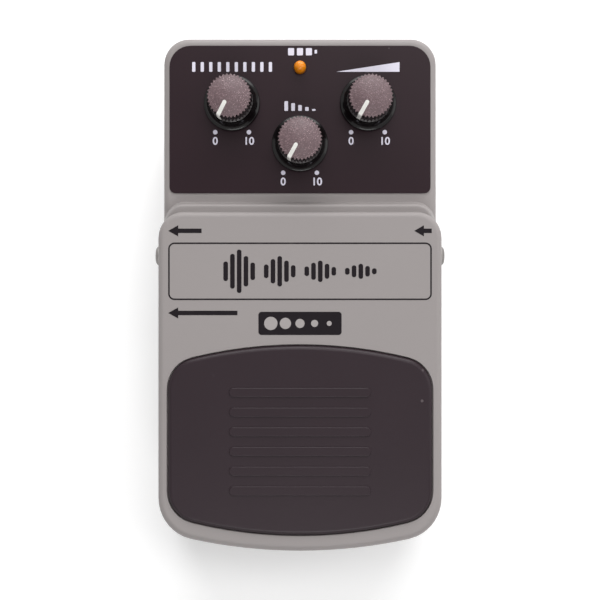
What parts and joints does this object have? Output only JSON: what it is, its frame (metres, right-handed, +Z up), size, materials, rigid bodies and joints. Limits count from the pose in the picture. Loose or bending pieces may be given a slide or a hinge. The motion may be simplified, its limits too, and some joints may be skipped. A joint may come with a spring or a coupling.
{
  "type": "delay effects pedal",
  "caption": "Compact wedge-shaped floor pedal for an echo effect: a sprung treadle with a rubber pad presses a foot switch, behind it are ridged knobs and a lamp, with jacks in its sides.",
  "frame": {"origin": "middle of the pedal's footprint, on the ground", "axes": "+X right as the player sees it, +Y from the nose to the rear, +Z up"},
  "size_m": [0.071, 0.1238, 0.0523],
  "materials": {
    "case_paint": "grey satin paint on plastic",
    "rubber": "matt black rubber",
    "base_plastic": "moulded black plastic",
    "overlay_film": "dark printed film",
    "knob_plastic": "glossy flare and fine sandblasted top",
    "pointer_paint": "white paint in a groove",
    "lamp_lens": "clear tinted amber",
    "steel": "nickel plated",
    "spring_steel": "drawn wire",
    "contact_brass": "bright",
    "socket_plastic": "moulded black plastic",
    "button_plastic": "moulded grey plastic",
    "board_laminate": "green solder mask",
    "capacitor_can": "drawn can",
    "header_plastic": "ivory moulding",
    "ribbon_sheath": "grey insulation",
    "red_sheath": "red insulation",
    "black_sheath": "black insulation",
    "battery_jacket": "lacquered metal jacket"
  },
  "bodies": {
    "chassis": {"upper_case": "case_paint", "front_case": "case_paint", "base_plate": "base_plastic", "base_mat": "rubber", "base_screws": "steel", "panel_overlay": "overlay_film", "control_board": "board_laminate", "main_board": "board_laminate", "board_screws": "steel", "delay_chip": "socket_plastic", "capacitors": "capacitor_can", "ribbon_cable": "ribbon_sheath", "ribbon_headers": "header_plastic", "repeat_rate_pot": "steel", "echo_pot": "steel", "intensity_pot": "steel", "pot_washers": "steel", "pot_nuts": "steel", "status_lamp": "lamp_lens", "lamp_leads": "steel", "input_jack": "socket_plastic", "output_jack": "socket_plastic", "direct_jack": "socket_plastic", "jack_contacts": "contact_brass", "jack_washers": "steel", "jack_nuts": "steel", "power_inlet": "socket_plastic", "power_pin": "steel", "switch_board": "board_laminate", "switch_body": "socket_plastic", "switch_cable": "ribbon_sheath", "battery": "battery_jacket", "battery_snap": "socket_plastic", "battery_lead_red": "red_sheath", "battery_lead_black": "black_sheath", "stop_bumpers": "rubber", "return_springs": "spring_steel", "left_pin_spring": "spring_steel", "right_pin_spring": "spring_steel", "hinge_pin_caps": "socket_plastic"},
    "treadle_unit": {"treadle": "case_paint", "tread_pad": "rubber", "switch_striker": "rubber"},
    "switch_plunger": {"switch_button": "button_plastic"},
    "left_pin": {"left_hinge_pin": "steel"},
    "right_pin": {"right_hinge_pin": "steel"},
    "repeat_rate_control": {"repeat_rate_knob": "knob_plastic", "repeat_rate_shaft": "steel", "repeat_rate_pointer": "pointer_paint"},
    "echo_control": {"echo_knob": "knob_plastic", "echo_shaft": "steel", "echo_pointer": "pointer_paint"},
    "intensity_control": {"intensity_knob": "knob_plastic", "intensity_shaft": "steel", "intensity_pointer": "pointer_paint"}
  },
  "joints": [
    {"name": "treadle_press", "type": "hinge", "parent": "chassis", "child": "treadle_unit", "pos_m": [0, 0.00905, 0.03164], "axis": [1, 0, 0], "range_deg": [0, 2.4], "stiffness_Nm_per_rad": 6, "springref_deg": -3.44, "deforming": ["return_springs"]},
    {"name": "switch_travel", "type": "slide", "parent": "chassis", "child": "switch_plunger", "axis": [0, 0, -1], "range_m": [0, 0.0025]},
    {"name": "left_pin_push", "type": "slide", "parent": "chassis", "child": "left_pin", "axis": [1, 0, 0], "range_m": [0, 0.0038], "stiffness_N_per_m": 600, "springref_m": -0.002, "deforming": ["left_pin_spring"]},
    {"name": "right_pin_push", "type": "slide", "parent": "chassis", "child": "right_pin", "axis": [-1, 0, 0], "range_m": [0, 0.0038], "stiffness_N_per_m": 600, "springref_m": -0.002, "deforming": ["right_pin_spring"]},
    {"name": "repeat_rate_turn", "type": "hinge", "parent": "chassis", "child": "repeat_rate_control", "pos_m": [-0.01675, 0.04571, 0.04004], "axis": [0, 0.2079, -0.9781], "range_deg": [0, 300]},
    {"name": "echo_turn", "type": "hinge", "parent": "chassis", "child": "echo_control", "pos_m": [0, 0.03593, 0.03796], "axis": [0, 0.2079, -0.9781], "range_deg": [0, 300]},
    {"name": "intensity_turn", "type": "hinge", "parent": "chassis", "child": "intensity_control", "pos_m": [0.01675, 0.04571, 0.04004], "axis": [0, 0.2079, -0.9781], "range_deg": [0, 300]}
  ],
  "couplings": [
    {"joint": "switch_travel", "follows": "treadle_press", "m_per_rad": 0.05885}
  ]
}
